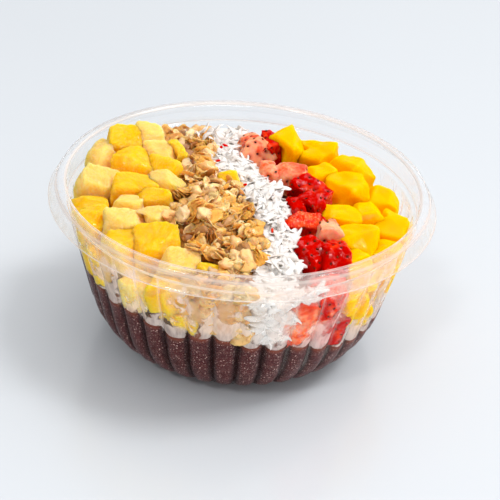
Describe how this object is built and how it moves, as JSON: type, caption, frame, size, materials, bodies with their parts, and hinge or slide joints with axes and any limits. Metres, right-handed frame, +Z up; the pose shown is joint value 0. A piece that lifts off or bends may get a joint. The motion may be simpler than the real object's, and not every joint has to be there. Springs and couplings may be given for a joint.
{
  "type": "acai bowl",
  "caption": "Clear fluted takeaway bowl with a turned-down rim, filled with acai and topped with rows of pineapple, granola, shredded coconut, strawberry and mango.",
  "frame": {"origin": "on the ground under the middle of the bowl's flat base", "axes": "+Z up, -Y towards the front, +X to the right as seen from the front"},
  "size_m": [0.15, 0.15, 0.0701],
  "materials": {
    "clear_shell": "clear, thin and glossy",
    "acai": "smooth frozen pulp, slightly frosty",
    "pineapple_pale": "wet cut fruit",
    "pineapple_deep": "wet cut fruit",
    "granola": "baked oats and puffed grain",
    "coconut": "shredded flesh",
    "strawberry_red": "wet skin with seeds",
    "strawberry_pale": "wet cut flesh",
    "mango": "wet cut fruit"
  },
  "bodies": {
    "root": {"bowl": "clear_shell", "acai": "acai", "strawberry_01": "strawberry_pale", "strawberry_02": "strawberry_red", "strawberry_03": "strawberry_pale", "strawberry_04": "strawberry_red", "strawberry_05": "strawberry_red", "strawberry_06": "strawberry_red", "strawberry_07": "strawberry_pale", "strawberry_08": "strawberry_red", "strawberry_09": "strawberry_red", "strawberry_10": "strawberry_red", "strawberry_11": "strawberry_pale", "strawberry_12": "strawberry_red", "strawberry_13": "strawberry_red", "mango_01": "mango", "mango_02": "mango", "mango_03": "mango", "mango_04": "mango", "mango_05": "mango", "mango_06": "mango", "mango_07": "mango", "mango_08": "mango", "mango_09": "mango", "mango_10": "mango", "mango_11": "mango", "mango_12": "mango", "mango_13": "mango", "mango_14": "mango", "mango_15": "mango", "mango_16": "mango", "mango_17": "mango", "pineapple_01": "pineapple_deep", "pineapple_02": "pineapple_pale", "pineapple_03": "pineapple_pale", "pineapple_04": "pineapple_pale", "pineapple_05": "pineapple_deep", "pineapple_06": "pineapple_pale", "pineapple_07": "pineapple_deep", "pineapple_08": "pineapple_deep", "pineapple_09": "pineapple_pale", "pineapple_10": "pineapple_deep", "pineapple_11": "pineapple_deep", "pineapple_12": "pineapple_deep", "pineapple_13": "pineapple_pale", "pineapple_14": "pineapple_deep", "pineapple_15": "pineapple_pale", "pineapple_16": "pineapple_pale", "pineapple_17": "pineapple_deep", "pineapple_18": "pineapple_deep", "pineapple_19": "pineapple_pale", "pineapple_20": "pineapple_deep", "pineapple_21": "pineapple_deep", "pineapple_22": "pineapple_deep", "pineapple_23": "pineapple_pale", "pineapple_24": "pineapple_deep", "pineapple_25": "pineapple_deep", "pineapple_26": "pineapple_deep", "granola": "granola", "coconut": "coconut"}
  },
  "joints": []
}
